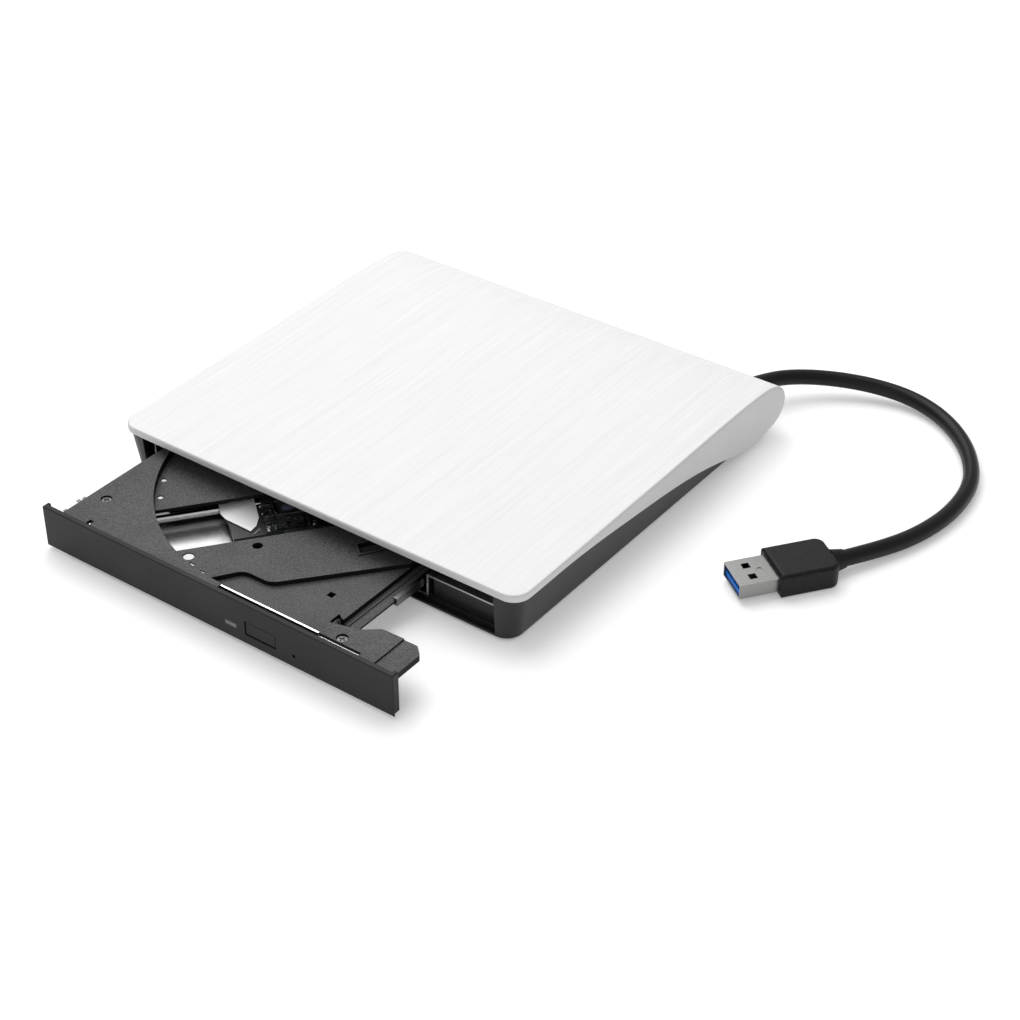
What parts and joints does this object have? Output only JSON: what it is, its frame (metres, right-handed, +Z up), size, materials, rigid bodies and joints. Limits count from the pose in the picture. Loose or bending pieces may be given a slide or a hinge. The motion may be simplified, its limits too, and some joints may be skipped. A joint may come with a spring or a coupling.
{
  "type": "external optical drive",
  "caption": "Slim external disc drive with a sliding tray, exposed spindle and pickup, wedge-shaped housing and a captive cable ending in a rectangular plug.",
  "frame": {"origin": "on the ground under the middle of the drive without its cable and plug, halfway between the bezel of the half-open tray and the hump at the rear", "axes": "+X to the right seen from the front, +Y to the rear, from the tray towards the cable, +Z up"},
  "size_m": [0.2173, 0.219, 0.0196],
  "materials": {
    "cover_white": "satin white with fine hairlines running front to back",
    "base_black": "satin black moulding",
    "foot_rubber": "matt rubber",
    "screw_steel": "plated screw steel",
    "case_steel": "zinc-plated sheet",
    "bracket_steel": "bright sheet",
    "chassis_steel": "bright pressed sheet",
    "runner_steel": "bright folded sheet",
    "flex_film": "amber film",
    "connector_plastic": "black moulding",
    "circuit_board": "dark green lacquered board",
    "chip_plastic": "black epoxy",
    "wire_sleeve": "dark wire sleeves",
    "cable_jacket": "satin black jacket",
    "plug_moulding": "finely grained black moulding",
    "plug_steel": "nickel-plated sheet",
    "plug_blue": "blue moulding",
    "contact_metal": "gold-plated contacts",
    "tray_plastic": "grained black moulding",
    "bezel_plastic": "satin black moulding",
    "lamp_lens": "milky grey lens",
    "motor_metal": "plated can",
    "polished_rod": "ground and polished",
    "hub_plastic": "black moulding",
    "sled_plastic": "black moulding",
    "shield_metal": "mirror-bright sheet",
    "lens_glass": "coated lens"
  },
  "bodies": {
    "housing": {"top_cover": "cover_white", "base_shell": "base_black", "housing_screws": "screw_steel", "rubber_feet": "foot_rubber", "drive_case_bottom": "case_steel", "drive_case_lid": "case_steel", "case_screws": "screw_steel", "fixed_runner_left": "runner_steel", "fixed_runner_right": "runner_steel", "lock_post": "screw_steel", "flex_cable": "flex_film", "drive_connector": "connector_plastic", "bridge_board": "circuit_board", "bridge_chips": "chip_plastic", "board_screws": "screw_steel", "inner_wires": "wire_sleeve", "lead_boot": "cable_jacket", "usb_lead": "cable_jacket", "plug_body": "plug_moulding", "plug_collar": "plug_moulding", "plug_shell": "plug_steel", "plug_insulator": "plug_blue", "plug_contacts": "contact_metal"},
    "slide_left": {"slide_runner_left": "runner_steel"},
    "slide_right": {"slide_runner_right": "runner_steel"},
    "tray": {"tray": "tray_plastic", "tray_screws": "screw_steel", "tray_bottom_plate": "case_steel", "bezel_bracket": "bracket_steel", "tray_bezel": "bezel_plastic", "front_board": "circuit_board", "eject_switch": "chip_plastic", "activity_lamp": "lamp_lens", "spindle_motor": "motor_metal", "mechanism_chassis": "chassis_steel", "guide_rod_left": "polished_rod", "guide_rod_right": "polished_rod", "sled_motor": "motor_metal", "tray_board": "circuit_board", "tray_board_chips": "chip_plastic", "board_spacers": "connector_plastic", "latch_pin": "screw_steel", "latch_solenoid": "motor_metal", "eject_spring": "screw_steel"},
    "button": {"eject_button": "bezel_plastic"},
    "turntable": {"turntable": "hub_plastic", "hub_catches": "hub_plastic", "turntable_pad": "foot_rubber"},
    "screw": {"lead_screw": "polished_rod"},
    "sled": {"pickup_sled": "sled_plastic", "pickup_board": "circuit_board", "pickup_chips": "chip_plastic", "pickup_shield": "shield_metal"},
    "lens": {"lens_holder": "sled_plastic", "objective_lens": "lens_glass"},
    "latch": {"eject_latch": "connector_plastic"},
    "plunger": {"eject_plunger": "connector_plastic"}
  },
  "joints": [
    {"name": "tray_slide", "type": "slide", "parent": "housing", "child": "tray", "axis": [0, -1, 0], "range_m": [-0.0426, 0.085]},
    {"name": "slide_left_travel", "type": "slide", "parent": "housing", "child": "slide_left", "axis": [0, -1, 0], "range_m": [-0.0214, 0.0426]},
    {"name": "slide_right_travel", "type": "slide", "parent": "housing", "child": "slide_right", "axis": [0, -1, 0], "range_m": [-0.0214, 0.0426]},
    {"name": "eject_button_press", "type": "slide", "parent": "tray", "child": "button", "axis": [0, 1, 0], "range_m": [0, 0.0005], "stiffness_N_per_m": 400},
    {"name": "turntable_spin", "type": "hinge", "parent": "tray", "child": "turntable", "pos_m": [0, -0.0259, 0.0116], "axis": [0, 0, 1], "continuous": true},
    {"name": "sled_travel", "type": "slide", "parent": "tray", "child": "sled", "axis": [-0.6157, -0.788, 0], "range_m": [0, 0.03]},
    {"name": "lead_screw_turn", "type": "hinge", "parent": "tray", "child": "screw", "pos_m": [-0.02366, -0.03279, 0.0069], "axis": [-0.6157, -0.788, 0], "range_deg": [-10, 3700]},
    {"name": "lens_focus", "type": "slide", "parent": "sled", "child": "lens", "axis": [0, 0, 1], "range_m": [-0.0003, 0.0003], "stiffness_N_per_m": 100},
    {"name": "latch_swing", "type": "hinge", "parent": "tray", "child": "latch", "pos_m": [0.0325, 0.0219, 0.005], "axis": [0, 0, 1], "range_deg": [0, 6]},
    {"name": "plunger_slide", "type": "slide", "parent": "tray", "child": "plunger", "axis": [0, 1, 0], "range_m": [0, 0.007]}
  ],
  "couplings": [
    {"joint": "slide_left_travel", "follows": "tray_slide", "ratio": 0.5},
    {"joint": "slide_right_travel", "follows": "tray_slide", "ratio": 0.5},
    {"joint": "lead_screw_turn", "follows": "sled_travel", "rad_per_m": 2094.4}
  ]
}
